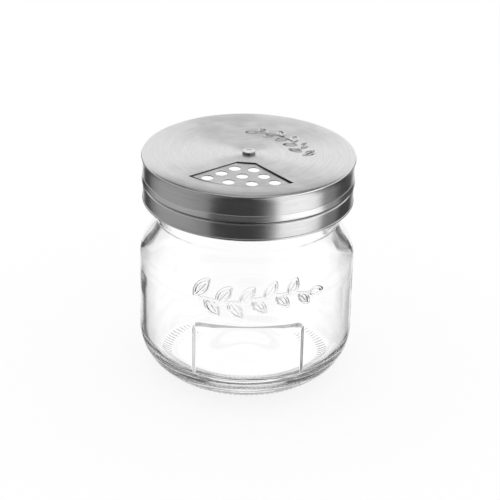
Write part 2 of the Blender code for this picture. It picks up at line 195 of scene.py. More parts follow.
def joinPaths(*paths):
    joined = []
    for path in paths:
        for point in path:
            if not joined or hypot(point[0] - joined[-1][0], point[1] - joined[-1][1]) > 1e-4:
                joined.append(point)
    return joined


def stitch(faces, upper, lower, upperAngles, lowerAngles):  # joins two rings, or a ring and a pole
    if len(upper) == 1:
        faces += [(upper[0], lower[i], lower[(i + 1) % len(lower)]) for i in range(len(lower))]
    elif len(lower) == 1:
        faces += [(upper[i], lower[0], upper[(i + 1) % len(upper)]) for i in range(len(upper))]
    elif upperAngles is lowerAngles:
        n = len(upper)
        faces += [(upper[i], lower[i], lower[(i + 1) % n], upper[(i + 1) % n]) for i in range(n)]
    else:
        i = j = 0
        n, m = len(upper), len(lower)
        done = 9.0  # past any angle
        while i < n or j < m:
            nextUpper = upperAngles[i + 1] if i + 1 < n else pi + 1e-9 if i < n else done
            nextLower = lowerAngles[j + 1] if j + 1 < m else pi if j < m else done
            if nextUpper < nextLower:
                faces.append((upper[i % n], lower[j % m], upper[(i + 1) % n]))
                i += 1
            else:
                faces.append((upper[i % n], lower[j % m], lower[(j + 1) % m]))
                j += 1


def ringMesh(name, rings, closed=True):  # rings of radius, height and angles, a radius of 0 being a pole
    verts, faces, rows = [], [], []
    for radius, height, angles in rings:
        first = len(verts)
        if radius < 1e-6:
            verts.append((0.0, 0.0, height * mm))
        else:
            verts += [(radius * sin(a) * mm, -radius * cos(a) * mm, height * mm) for a in angles]
        rows.append((range(first, len(verts)), angles))
    pairs = list(zip(rows, rows[1:]))
    if closed:
        pairs.append((rows[-1], rows[0]))
    for (upper, upperAngles), (lower, lowerAngles) in pairs:
        if len(upper) > 1 or len(lower) > 1:
            stitch(faces, upper, lower, upperAngles, lowerAngles)
    mesh = bpy.data.meshes.new(name)
    mesh.from_pydata(verts, [], faces)
    return mesh


def sheetRings(outer, thickness, angles, coarser=None):  # the outside, and back along it at a sheet's depth
    inner = []
    path = coarser or outer
    for i, point in enumerate(path):
        before = path[max(i - 1, 0)]
        after = path[min(i + 1, len(path) - 1)]
        dr, dz = after[0] - before[0], after[1] - before[1]
        length = hypot(dr, dz)
        inner.append((point[0] + dz / length * thickness, point[1] - dr / length * thickness))
    return [(r, z, angles) for r, z in outer + inner[::-1]]


# Node trees that grow or carve a mesh, run once and kept as a plain mesh

def keepPlain(name, grower):
    bpy.context.view_layer.update()
    graph = bpy.context.evaluated_depsgraph_get()
    mesh = bpy.data.meshes.new_from_object(grower.evaluated_get(graph))
    bpy.data.objects.remove(grower, do_unlink=True)
    return makePiece(name, mesh)


def makePiece(name, mesh):
    piece = bpy.data.objects.new(name, mesh)
    scene.collection.objects.link(piece)
    return piece


def growMesh(name, mesh, build, sizes, finish):
    tree = bpy.data.node_groups.new(name + "Tree", "GeometryNodeTree")
    tree.interface.new_socket("Geometry", in_out="INPUT", socket_type="NodeSocketGeometry")
    tree.interface.new_socket("Geometry", in_out="OUTPUT", socket_type="NodeSocketGeometry")
    identifiers = {}
    for key in sizes:
        socket = tree.interface.new_socket(key, in_out="INPUT", socket_type="NodeSocketFloat")
        identifiers[key] = socket.identifier
    given = tree.nodes.new("NodeGroupInput")
    size = {key: Wire(tree, given.outputs[key]) for key in sizes}
    grown = build(tree, given.outputs["Geometry"], size)
    real = tree.nodes.new("GeometryNodeRealizeInstances")
    dressed = tree.nodes.new("GeometryNodeSetMaterial")
    dressed.inputs["Material"].default_value = finish
    result = tree.nodes.new("NodeGroupOutput")
    tree.links.new(grown, real.inputs[0])
    tree.links.new(real.outputs[0], dressed.inputs["Geometry"])
    tree.links.new(dressed.outputs[0], result.inputs[0])
    grower = makePiece(name + "Grower", mesh)
    modifier = grower.modifiers.new("Grow", "NODES")
    modifier.node_group = tree
    for key, value in sizes.items():
        modifier[identifiers[key]] = float(value)
    return keepPlain(name, grower)


def positionParts(tree):
    node = tree.nodes.new("GeometryNodeInputPosition")
    return [part / mm for part in splitXyz(tree, node.outputs[0])]


def movePoints(tree, geometry, offset):
    node = tree.nodes.new("GeometryNodeSetPosition")
    tree.links.new(geometry, node.inputs["Geometry"])
    plug(tree, node.inputs["Offset"], offset)
    return node.outputs[0]


def placePoints(tree, geometry, place):
    node = tree.nodes.new("GeometryNodeSetPosition")
    tree.links.new(geometry, node.inputs["Geometry"])
    plug(tree, node.inputs["Position"], place)
    return node.outputs[0]


def vectorTimes(tree, vector, factor):
    node = tree.nodes.new("ShaderNodeVectorMath")
    node.operation = "SCALE"
    plug(tree, node.inputs[0], vector)
    plug(tree, node.inputs["Scale"], factor)
    return Wire(tree, node.outputs[0])


def vectorSum(tree, *vectors):
    total = vectors[0]
    for vector in vectors[1:]:
        node = tree.nodes.new("ShaderNodeVectorMath")
        plug(tree, node.inputs[0], total)
        plug(tree, node.inputs[1], vector)
        total = Wire(tree, node.outputs[0])
    return total


# The sprig that fills the decorated places: a wavy stem with leaves on both sides

leafRib = 0.75  # share of the leaf's length
leafPoints = 28  # round its edge


def sprigHeight(tree, across, up, sprig):
    stem = tree.nodes.new("GeometryNodeCurvePrimitiveLine")
    stem.inputs["Start"].default_value = (-sprig["length"] / 2, 0, 0)
    stem.inputs["End"].default_value = (sprig["length"] / 2, 0, 0)
    points = addNode(tree, "GeometryNodeResampleCurve", Count=sprig["leaves"])
    tree.links.new(stem.outputs[0], points.inputs["Curve"])
    position = tree.nodes.new("GeometryNodeInputPosition")
    sx, sy = splitXyz(tree, position.outputs[0])[:2]
    wave = (sx * (2 * pi / sprig["length"])).math("SINE") * sprig["wave"]
    wavy = movePoints(tree, points.outputs[0], joinXyz(tree, 0.0, wave, 0.0))

    circle = addNode(tree, "GeometryNodeCurvePrimitiveCircle", Resolution=leafPoints, Radius=1.0)
    leafX = (sx + 1.0) * (sprig["leafLength"] / 2)  # the circle is drawn out to a leaf with two tips
    leafY = sy * sy.math("ABSOLUTE") * (sprig["leafWidth"] / 2)
    leaf = placePoints(tree, circle.outputs[0], joinXyz(tree, leafX, leafY, 0.0))
    rib = tree.nodes.new("GeometryNodeCurvePrimitiveLine")
    rib.inputs["End"].default_value = (sprig["leafLength"] * leafRib, 0, 0)
    both = tree.nodes.new("GeometryNodeJoinGeometry")
    tree.links.new(leaf, both.inputs[0])
    tree.links.new(rib.outputs[0], both.inputs[0])

    index = Wire(tree, tree.nodes.new("GeometryNodeInputIndex").outputs[0])
    last = float(sprig["leaves"] - 1)
    side = 1.0 - index.math("MODULO", 2.0) * 2.0
    atTip = index.math("COMPARE", last, 0.5)
    lean = side * sprig["lean"] * (1.0 - atTip)
    grown = 1.0 - index / last * sprig["taper"]
    spread = tree.nodes.new("GeometryNodeInstanceOnPoints")
    tree.links.new(wavy, spread.inputs["Points"])
    tree.links.new(both.outputs[0], spread.inputs["Instance"])
    plug(tree, spread.inputs["Rotation"], joinXyz(tree, 0.0, 0.0, lean))
    plug(tree, spread.inputs["Scale"], joinXyz(tree, grown, grown, 1.0))
    leaves = tree.nodes.new("GeometryNodeRealizeInstances")
    tree.links.new(spread.outputs[0], leaves.inputs[0])
    whole = tree.nodes.new("GeometryNodeJoinGeometry")
    tree.links.new(wavy, whole.inputs[0])
    tree.links.new(leaves.outputs[0], whole.inputs[0])
    lines = tree.nodes.new("GeometryNodeCurveToMesh")
    tree.links.new(whole.outputs[0], lines.inputs["Curve"])
    near = tree.nodes.new("GeometryNodeProximity")
    near.target_element = "EDGES"
    tree.links.new(lines.outputs[0], near.inputs[0])
    plug(tree, near.inputs["Sample Position"], joinXyz(tree, across, up, 0.0))
    distance = Wire(tree, near.outputs["Distance"])
    half, groove = sprig["lineHalf"], sprig["groove"]
    ridge = distance.step(0.0, half, sprig["depth"], -groove)
    return ridge + distance.step(half, half * 2.0, 0.0, groove)


# Studio: world, floor and camera

studio = {
    "cameraPlace": (-23.9, -721.1, 394.8),
    "cameraTurn": radians(-2.0),
    "lookDown": radians(25.603),
    "roll": radians(1.308),
    "lens": 146.2,
    "sensor": 36.0,
    "farthest": 20.0,
    "floorHalf": 1.6,
    "shadowFade": 0.85,
}


def makeCamera():
    data = bpy.data.cameras.new("photoCamera")
    data.lens = studio["lens"]
    data.sensor_width = studio["sensor"]
    data.sensor_fit = "HORIZONTAL"
    data.clip_end = studio["farthest"]
    data.dof.use_dof = False
    camera = bpy.data.objects.new("photoCamera", data)
    scene.collection.objects.link(camera)
    camera.rotation_mode = "QUATERNION"
    turned = Quaternion((0, 0, 1), studio["cameraTurn"])
    tilted = Quaternion((1, 0, 0), pi / 2 - studio["lookDown"])
    rolled = Quaternion((0, 0, 1), studio["roll"])
    camera.rotation_quaternion = turned @ tilted @ rolled
    camera.location = Vector(studio["cameraPlace"]) * mm
    scene.camera = camera


def makeFloor():
    half = studio["floorHalf"]
    mesh = bpy.data.meshes.new("floor")
    corners = [(-half, -half, 0.0), (half, -half, 0.0), (half, half, 0.0), (-half, half, 0.0)]
    mesh.from_pydata(corners, [], [(0, 1, 2, 3)])
    floor = makePiece("floor", mesh)
    floor.visible_glossy = False
    floor.visible_transmission = False
    material = bpy.data.materials.new("paleFloor")
    material.use_nodes = True
    tree = material.node_tree
    lit = tree.nodes["Principled BSDF"]
    lit.inputs["Base Color"].default_value = (1.0, 1.0, 1.0, 1.0)
    lit.inputs["Roughness"].default_value = 1.0
    lit.inputs["Specular IOR Level"].default_value = 0.0
    white = tree.nodes.new("ShaderNodeEmission")
    seen = tree.nodes.new("ShaderNodeLightPath")
    mixed = tree.nodes.new("ShaderNodeMixShader")
    plug(tree, mixed.inputs[0], Wire(tree, seen.outputs["Is Camera Ray"]) * studio["shadowFade"])
    tree.links.new(lit.outputs[0], mixed.inputs[1])
    tree.links.new(white.outputs[0], mixed.inputs[2])
    tree.links.new(mixed.outputs[0], tree.nodes["Material Output"].inputs[0])
    mesh.materials.append(material)


# What steel and glass see round the studio: bearings run from the camera towards its right, in degrees, and
# heights are sines above the horizon, each pair being the start and end of a soft edge
steelRoom = {
    "table": [(-180, 0.85), (-162, 0.85), (-158, 0.05), (-136, 0.05), (-131, 0.2), (-112, 0.36), (-70, 0.34),
              (-44, 0.22), (-40, 0.045), (2, 0.035), (15, 0.07), (26, 0.26), (35, 1.0), (60, 1.1), (82, 1.0),
              (84, 0.24), (108, 0.2), (112, 0.05), (150, 0.05), (156, 0.8), (180, 0.85)],
    "low": [(-180, 0.92), (-140, 0.92), (-115, 0.5), (-75, 0.55), (-48, 0.45), (-30, 0.12), (12, 0.12),
            (24, 0.4), (32, 1.0), (55, 1.1), (180, 0.92)],
    "horizon": 1.75,
    "horizonLift": 0.1,
    "horizonFrom": (-0.14, -0.06),
    "lowFrom": (0.05, 0.12),
    "high": 0.1,
    "highFrom": (0.44, 0.67),
    "overhead": 0.7,
    "overheadFrom": (0.8, 0.95),
}
glassRoom = {
    "white": 1.06,
    "darkest": 0.06,
    "front": 0.35,
    "frontUntil": (radians(48), radians(66)),
    "frontAbove": (-0.62, -0.52),
    "flags": 0.85,
    "flagsFrom": (radians(112), radians(122)),
    "flagsHalf": 0.55,
    "flagsFull": (radians(136), radians(146)),
    "flagsUntil": (radians(156), radians(161)),
    "flagsAbove": (-0.7, -0.62),
    "rightFlag": 0.3,
    "rightFrom": (-0.1, 0.1),
    "rightBelow": (-0.4, -0.3),
    "above": 0.65,
    "aboveFrom": (0.0, 0.06),
    "aboveUntil": (0.28, 0.36),
    "below": 0.5,
    "belowFrom": (-0.96, -0.92),
    "belowUntil": (-0.8, -0.74),
}


def bearingRamp(tree, bearing, stops):
    node = tree.nodes.new("ShaderNodeValToRGB")
    ramp = node.color_ramp
    while len(ramp.elements) > 1:
        ramp.elements.remove(ramp.elements[-1])
    for i, (angle, level) in enumerate(stops):
        place = (angle + 180) / 360
        element = ramp.elements[0] if i == 0 else ramp.elements.new(place)
        element.position = place
        element.color = (level, level, level, 1.0)
    plug(tree, node.inputs[0], bearing / (2 * pi) + 0.5)
    return Wire(tree, node.outputs[0])


def makeWorld():
    world = bpy.data.worlds.new("studioWorld")
    world.use_nodes = True
    scene.world = world
    tree = world.node_tree
    background = tree.nodes["Background"]
    path = tree.nodes.new("ShaderNodeLightPath")
    direction = tree.nodes.new("ShaderNodeTexCoord")
    x, y, z = splitXyz(tree, direction.outputs["Generated"])
    bearing = x.math("ARCTAN2", -y)
    s = steelRoom
    table = bearingRamp(tree, bearing, s["table"])
    low = bearingRamp(tree, bearing, s["low"])
    steelSees = blendTo(table, table * s["horizon"] + s["horizonLift"], z.step(*s["horizonFrom"]))
    steelSees = blendTo(steelSees, low, z.step(*s["lowFrom"]))
    steelSees = blendTo(steelSees, number(tree, s["high"]), z.step(*s["highFrom"]))
    steelSees = blendTo(steelSees, number(tree, s["overhead"]), z.step(*s["overheadFrom"]))
    g = glassRoom
    aside = bearing.math("ABSOLUTE")
    dark = aside.step(*g["frontUntil"], g["front"], 0.0) * z.step(*g["frontAbove"])
    flagged = aside.step(*g["flagsFrom"]) * aside.step(*g["flagsFull"], g["flagsHalf"], 1.0)
    flagged = flagged * aside.step(*g["flagsUntil"], 1.0, 0.0)
    rightSide = x.step(*g["rightFrom"]) * z.step(*g["rightBelow"], 1.0, 0.0)
    dark = dark + flagged * blendTo(g["flags"], g["rightFlag"], rightSide) * z.step(*g["flagsAbove"])
    dark = dark + z.step(*g["aboveFrom"]) * z.step(*g["aboveUntil"], g["above"], 0.0)
    dark = dark + z.step(*g["belowFrom"]) * z.step(*g["belowUntil"], g["below"], 0.0)
    glassSees = (1.0 - dark).math("MAXIMUM", g["darkest"]) * g["white"]
    outside = Wire(tree, path.outputs["Transmission Depth"]).step(0.0, 1.0, 1.0, 0.0)
    glossy = Wire(tree, path.outputs["Is Glossy Ray"])
    mirrored = glossy * Wire(tree, path.outputs["Is Reflection Ray"]) * outside
    through = Wire(tree, path.outputs["Is Transmission Ray"])
    color = 1.0 + (steelSees - 1.0) * mirrored + (glassSees - 1.0) * through
    plug(tree, background.inputs["Color"], color)
    background.inputs["Strength"].default_value = 1.0


# Finishes

def newFinish(name):
    material = bpy.data.materials.new(name)
    material.use_nodes = True
    return material, material.node_tree, material.node_tree.nodes["Principled BSDF"]


def objectParts(tree):
    node = tree.nodes.new("ShaderNodeTexCoord")
    return [part / mm for part in splitXyz(tree, node.outputs["Object"])]


def noise(tree, vector, scale, detail=2.0, roughness=0.5):
    node = tree.nodes.new("ShaderNodeTexNoise")
    plug(tree, node.inputs["Vector"], vector)
    node.inputs["Scale"].default_value = scale
    node.inputs["Detail"].default_value = detail
    node.inputs["Roughness"].default_value = roughness
    return Wire(tree, node.outputs["Fac"])


def bump(tree, shader, height, distance):
    node = tree.nodes.new("ShaderNodeBump")
    node.inputs["Distance"].default_value = distance
    plug(tree, node.inputs["Height"], height)
    tree.links.new(node.outputs[0], shader.inputs["Normal"])


def grey(tree, level):
    return joinXyz(tree, level, level, level)


noiseSpan = (0.3, 0.7)  # where most of a noise lies
strays = (0.85, 1.15)  # how far a roughness strays
brushing = {
    "across": 9.0,
    "along": 3.0,
    "detail": 4.0,
    "grain": 0.7,
    "cloud": 0.09,
    "dark": 0.86,
    "light": 1.06,
    # how far the painted shade darkens the colour
    "paintedShadeLevel": 0.35,
}
glassLook = {"ior": 1.5, "ripple": 0.22, "roughest": 0.012}
plasticLook = {"grain": 2.5, "mottle": 0.15, "mottled": 0.96, "depth": 0.00002}


def brushedSteel(name, brightness, roughness, lineDepth, anisotropy=0.95, paintShadeBelow=0.0, paintShadeWithin=0.0):
    material, tree, shader = newFinish(name)
    x, y, z = objectParts(tree)
    radius = (x * x + y * y).math("SQRT")
    along = y.math("ARCTAN2", x)
    b = brushing
    streak = joinXyz(tree, radius * b["across"], z * b["across"], along * b["along"])
    lines = noise(tree, streak, 1.0, b["detail"], b["grain"])
    cloud = noise(tree, joinXyz(tree, x, y, z), b["cloud"])
    tone = lines.step(*noiseSpan, brightness * b["dark"], brightness * b["light"])
    if paintShadeBelow:  # painted shade: the colour is darkened below the given height and inside the given radius, in place of shade
        shadeMask = z.step(paintShadeBelow - 0.06, paintShadeBelow - 0.02, b["paintedShadeLevel"], 1.0)
        tone = tone * shadeMask.math("MAXIMUM", radius.step(paintShadeWithin, paintShadeWithin + 0.5))
    plug(tree, shader.inputs["Base Color"], grey(tree, tone))
    plug(tree, shader.inputs["Roughness"], cloud.step(*noiseSpan, *[roughness * share for share in strays]))
    shader.inputs["Metallic"].default_value = 1.0
    shader.inputs["Anisotropic"].default_value = anisotropy
    shader.inputs["Anisotropic Rotation"].default_value = 0.25  # a quarter turn from the radial tangent
    tangent = tree.nodes.new("ShaderNodeTangent")
    tangent.direction_type = "RADIAL"
    tangent.axis = "Z"
    tree.links.new(tangent.outputs[0], shader.inputs["Tangent"])
    bump(tree, shader, lines, lineDepth)
    return material


def clearGlass():
    material, tree, shader = newFinish("clearGlass")
    x, y, z = objectParts(tree)
    ripple = noise(tree, joinXyz(tree, x, y, z), glassLook["ripple"])
    shader.inputs["Base Color"].default_value = (1.0, 1.0, 1.0, 1.0)
    shader.inputs["Transmission Weight"].default_value = 1.0
    shader.inputs["IOR"].default_value = glassLook["ior"]
    plug(tree, shader.inputs["Roughness"], ripple.step(*noiseSpan, 0.0, glassLook["roughest"]))
    return material


def mouldedPlastic(name, color, roughness):
    material, tree, shader = newFinish(name)
    x, y, z = objectParts(tree)
    grain = noise(tree, joinXyz(tree, x, y, z), plasticLook["grain"], 3.0)
    mottle = noise(tree, joinXyz(tree, x, y, z), plasticLook["mottle"])
    shade = mottle.step(*noiseSpan, plasticLook["mottled"], 1.0)
    plug(tree, shader.inputs["Base Color"], joinXyz(tree, *[shade * part for part in color]))
    plug(tree, shader.inputs["Roughness"], grain.step(*noiseSpan, *[roughness * share for share in strays]))
    bump(tree, shader, grain, plasticLook["depth"])
    return material


print("finishes")
finish = {  # steels by brightness, roughness and the depth of their lines in metres
    "glass": clearGlass(),
    # the dial's colour is darkened on the window's cut faces and underside: painted shade for the shadow in
    # the gap under the window's edges
    "dial": brushedSteel("dialSteel", 0.8, 0.22, 0.000012, paintShadeBelow=90.6, paintShadeWithin=33.5),
    "cap": brushedSteel("capSteel", 0.76, 0.22, 0.000012),
    # the rivet's colour is darkened below the top of its head: painted shade for the dark reflections and
    # shade on its side
    "rivet": brushedSteel("rivetSteel", 0.8, 0.09, 0.000002, anisotropy=0.0, paintShadeBelow=91.45, paintShadeWithin=3.5),
    "spring": brushedSteel("springSteel", 0.5, 0.3, 0.000006),
    "washer": brushedSteel("washerSteel", 0.6, 0.35, 0.000006),
    "seal": mouldedPlastic("sealSilicone", (0.86, 0.87, 0.87), 0.5),
    "insert": mouldedPlastic("insertPlastic", (0.88, 0.88, 0.87), 0.4),
    "glide": mouldedPlastic("glideNylon", (0.9, 0.9, 0.88), 0.45),
}


# The glass jar

jarTop = boxOf("glass_jar")[1]
jar = {
    "mouth": jarTop[2],
    "body": jarTop[0],
    "bore": 32.0,
    "root": 35.7,
    "crest": 36.9,
    "mouthRound": 1.2,
    "beadTop": 71.2,
    "beadSlope": 0.8,
    "beadEdge": 0.25,
    "beadEdgeHeight": 0.3,
    "beadFoot": 1.0,
    "beadLow": 65.7,
    "waistTop": 64.5,
    "waist": 36.0,
    "bodyTop": 49.4,
    "heel": 17.9,
    "bearing": 3.0,
    "pushUp": 0.7,
    "pushUpSlope": 16.0,
    "floor": 6.6,
    "innerHeel": 12.0,
    "inner": 40.1,
    "innerLow": 43.2,
    "innerHigh": 64.4,
}
jarGrid = {  # how finely the skin is cut: rings a turn, spans of bearings, heights and steps
    "even": 216,
    "within": 192,
    "ribbed": 600,
    "atSprig": ((-33, 43, 0.26), (43, 327, 2.0)),
    "atPanel": ((-33, -24, 0.25), (-24, 24, 1.2), (24, 33, 0.25), (33, 327, 2.0)),
    "sprigTop": 56.0,
    "sprigLow": 40.4,
    "panelTop": 38.4,
    "panelUnderTop": 35.8,
    "panelFoot": -20,
    "ribTop": -56,
    "ribLow": -80,
    "finest": 0.2,
    "fine": 0.25,
    "thread": 0.4,
    "plain": 0.6,
    "coarse": 1.2,
    "flat": 3.0,
}
jarRelief = {
    "threadLow": 77.0,
    "threadPitch": 5.0,
    "threadTurns": 1.4,
    "threadDepth": 1.2,
    "threadRound": 1.6,
    "panelHalfWidth": 21.5,
    "panelLow": 13.2,
    "panelHigh": 37.2,
    "panelCorner": 3.2,
    "panelProud": 0.6,
    "panelFace": 66.0,
    "panelEdge": 0.35,
    "panelBevel": 0.5,
    "panelTopBevel": 0.45,
    "ribCount": 100,
    "ribInner": 29.5,
    "ribOuter": 34.0,
    "ribDepth": 0.25,
    "sprigUp": 48.0,
    "sprigAcross": 1.5,
    "unevenness": 0.12,
    "shoulderUneven": 5.0,
    "unevenScale": 0.055,
}
jarZones = {  # soft edges in mm, along Z unless told otherwise
    "front": (-20.0, -15.0),  # along Y
    "ribsUntil": (9.0, 10.0),
    "ribEdge": 0.7,
    "threadFade": 0.1,  # in turns
    "panelDeep": (0.8, 1.6),  # by how far the panel stands out
    "shoulderFrom": (34.0, 42.0),
    "shoulderUntil": (46.0, 56.0),
    "unevenUntil": (62.0, 72.0),
}
jarSprig = {
    "length": 46.0,
    "wave": 1.6,
    "leaves": 11,
    "leafLength": 8.2,
    "leafWidth": 3.8,
    "lean": radians(50),
    "taper": 0.3,
    "lineHalf": 0.45,
    "depth": 0.5,
    "groove": 0.5,
}


def jarHeel(first, last, step):
    return roundPath((jar["body"] - jar["heel"], jar["heel"]), jar["heel"], first, last, step)


def jarOutside():
    j, grid = jar, jarGrid
    even = evenAngles(grid["even"])
    mouthLow = j["mouth"] - j["mouthRound"]
    slopeTop = j["beadTop"] + j["beadSlope"]
    edgeIn, edgeLow = j["crest"] - j["beadEdge"], j["beadTop"] - j["beadEdgeHeight"]
    neck = joinPaths(
        roundPath((j["root"] - j["mouthRound"], mouthLow), j["mouthRound"], 90, 0, grid["fine"]),
        linePath((j["root"], mouthLow), (j["root"], slopeTop), grid["thread"]),
        linePath((j["root"], slopeTop), (edgeIn, j["beadTop"]), 0.5),
        arcPath((edgeIn, edgeLow), (j["beadEdge"], j["beadEdgeHeight"]), 80, 0, 0.15),
        linePath((j["crest"], edgeLow), (j["crest"], j["beadLow"] + j["beadFoot"]), 0.7),
        easePath((j["crest"], j["beadLow"] + j["beadFoot"]), (j["waist"], j["waistTop"]), grid["finest"]),
    )
    ends = ((j["waist"], j["waistTop"]), (j["body"], j["bodyTop"]))
    plain = [point for point in easePath(*ends, 0.45) if point[1] > grid["sprigTop"]]
    dressed = [point for point in easePath(*ends, grid["fine"]) if point[1] < grid["sprigTop"]]
    dressed += linePath((j["body"], j["bodyTop"]), (j["body"], grid["sprigLow"]), grid["fine"])
    wall = joinPaths(
        linePath((j["body"], grid["sprigLow"]), (j["body"], grid["panelTop"]), 1.0),
        linePath((j["body"], grid["panelTop"]), (j["body"], grid["panelUnderTop"]), grid["finest"]),
        linePath((j["body"], grid["panelUnderTop"]), (j["body"], j["heel"]), grid["coarse"]),
        jarHeel(0, grid["panelFoot"], 0.22),
    )
    heel = jarHeel(grid["panelFoot"], grid["ribTop"] + 2, grid["plain"])
    ribs = jarHeel(grid["ribTop"], grid["ribLow"], grid["plain"])
    bearing = j["body"] - j["heel"]
    slope = bearing - j["bearing"]
    base = joinPaths(
        jarHeel(grid["ribLow"] - 1, -90, grid["plain"]),
        linePath((bearing, 0.0), (slope, 0.0), 1.0),
        easePathAcross((slope, 0.0), (slope - j["pushUpSlope"], j["pushUp"]), 1.0),
        linePath((slope - j["pushUpSlope"], j["pushUp"]), (0.0, j["pushUp"]), grid["flat"]),
    )
    atSprig = spanAngles(*grid["atSprig"])
    atPanel = spanAngles(*grid["atPanel"])
    rings = []
    for path, angles in ((neck, even), (plain, even), (dressed, atSprig), (wall, atPanel), (heel, even),
                         (ribs, evenAngles(grid["ribbed"])), (base, even)):
        for r, z in path:
            if not rings or hypot(r - rings[-1][0], z - rings[-1][1]) > 1e-3:
                rings.append((r, z, angles))
    return rings


def jarInside():
    j, grid = jar, jarGrid
    floorEdge = j["inner"] - j["innerHeel"]
    heelTop = j["floor"] + j["innerHeel"]
    mouthLow = j["mouth"] - j["mouthRound"]
    path = joinPaths(
        linePath((0.0, j["floor"]), (floorEdge, j["floor"]), grid["flat"]),
        roundPath((floorEdge, heelTop), j["innerHeel"], -90, 0, 1.0),
        linePath((j["inner"], heelTop), (j["inner"], j["innerLow"]), 2.5),
        easePath((j["inner"], j["innerLow"]), (j["bore"], j["innerHigh"]), 0.65),
        linePath((j["bore"], j["innerHigh"]), (j["bore"], mouthLow), grid["flat"]),
        roundPath((j["bore"] + j["mouthRound"], mouthLow), j["mouthRound"], 180, 90, 0.3),
    )
    within = evenAngles(grid["within"])
    return [(r, z, within) for r, z in path]


def carveJar(tree, mesh, size):
    zone = jarZones
    x, y, z = positionParts(tree)
    outsideNode = tree.nodes.new("GeometryNodeInputNamedAttribute")
    outsideNode.data_type = "FLOAT"
    outsideNode.inputs["Name"].default_value = "outside"
    outside = Wire(tree, outsideNode.outputs["Attribute"])
    normal = Wire(tree, tree.nodes.new("GeometryNodeInputNormal").outputs[0])
    radius = (x * x + y * y).math("SQRT")
    turn = x.math("ARCTAN2", -y)

    # The screw thread climbs from +X, a pitch each turn
    phase = (y.math("ARCTAN2", x) / (2 * pi)).math("FRACT")
    climb = (z - size["threadLow"]) / size["threadPitch"] - phase
    nearest = climb.math("ROUND")
    gap = (climb - nearest) * size["threadPitch"]
    wound = phase + nearest
    fade = wound.step(0.0, zone["threadFade"])
    fade = fade * wound.step(size["threadTurns"] - zone["threadFade"], size["threadTurns"], 1.0, 0.0)
    arch = (size["threadRound"] * size["threadRound"] - gap * gap).math("MAXIMUM", 0.0).math("SQRT")
    thread = (arch - size["threadRound"] + size["threadDepth"]).math("MAXIMUM", 0.0) * fade

    # The ribs that the jar stands on
    ribBand = radius.step(size["ribInner"], size["ribInner"] + zone["ribEdge"])
    ribBand = ribBand * radius.step(size["ribOuter"] - zone["ribEdge"], size["ribOuter"], 1.0, 0.0)
    ribBand = ribBand * z.step(*zone["ribsUntil"], 1.0, 0.0)
    rib = ((turn * size["ribCount"]).math("COSINE") * 0.5 + 0.5) * ribBand * size["ribDepth"]

    # The sprig on the shoulder
    sprig = sprigHeight(tree, turn * jar["body"] - size["sprigAcross"], z - size["sprigUp"], jarSprig)
    atFront = y.step(*zone["front"], 1.0, 0.0)
    sprig = sprig * atFront

    # The label panel
    middle = (size["panelLow"] + size["panelHigh"]) * 0.5
    halfHeight = (size["panelHigh"] - size["panelLow"]) * 0.5
    fromX = x.math("ABSOLUTE") - (size["panelHalfWidth"] - size["panelCorner"])
    fromZ = (z - middle).math("ABSOLUTE") - (halfHeight - size["panelCorner"])
    outX = fromX.math("MAXIMUM", 0.0)
    outZ = fromZ.math("MAXIMUM", 0.0)
    edge = (outX * outX + outZ * outZ).math("SQRT") + fromX.math("MAXIMUM", fromZ).math("MINIMUM", 0.0)
    edge = edge - size["panelCorner"]
    sagitta = size["panelFace"] - (size["panelFace"] * size["panelFace"] - x * x).math("SQRT")
    step = (y - sagitta + jar["body"] + size["panelProud"]).math("MAXIMUM", 0.0)
    corner = (outX * outX + outZ * outZ).math("MAXIMUM", 0.0001)
    upward = outZ * outZ / corner * z.step(middle, middle + 1.0)
    bevel = size["panelBevel"] + size["panelTopBevel"] * upward * step.step(*zone["panelDeep"])
    onPanel = (edge / (step * bevel + size["panelEdge"])).step(-1.0, 0.0, 1.0, 0.0)
    forward = -step * onPanel * atFront * outside

    # The slightly uneven inside
    inside = 1.0 - outside
    cloud = addNode(tree, "ShaderNodeTexNoise", Scale=size["unevenScale"], Detail=1.0)
    plug(tree, cloud.inputs["Vector"], joinXyz(tree, x, y, z * 0.5))
    atShoulder = z.step(*zone["shoulderFrom"]) * z.step(*zone["shoulderUntil"], 1.0, 0.0)
    amount = size["unevenness"] * (1.0 + atShoulder * size["shoulderUneven"]) * inside
    uneven = (Wire(tree, cloud.outputs[0]) - 0.5) * 2.0 * amount * z.step(*zone["unevenUntil"], 1.0, 0.0)

    outward = joinXyz(tree, x / radius.math("MAXIMUM", 0.01), y / radius.math("MAXIMUM", 0.01), 0.0)
    radial = vectorTimes(tree, outward, (thread + sprig) * outside * mm)
    square = vectorTimes(tree, normal, (rib * outside + uneven) * mm)
    straight = joinXyz(tree, 0.0, forward * mm, 0.0)
    return movePoints(tree, mesh, vectorSum(tree, radial, square, straight))


def makeJar():
    skin = jarOutside()
    mesh = ringMesh("glassJar", skin + jarInside())
    outsideCount = sum(1 if r < 1e-6 else len(angles) for r, z, angles in skin)
    outside = mesh.attributes.new("outside", "FLOAT", "POINT")
    outside.data.foreach_set("value", [1.0 if i < outsideCount else 0.0 for i in range(len(mesh.vertices))])
    piece = growMesh("glassJar", mesh, carveJar, jarRelief, finish["glass"])
    piece.data.shade_smooth()
    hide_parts("glass_jar")
    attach(piece, "jar")
    print(piece.name, len(piece.data.polygons), "faces")


# The turned steel pieces of the lid

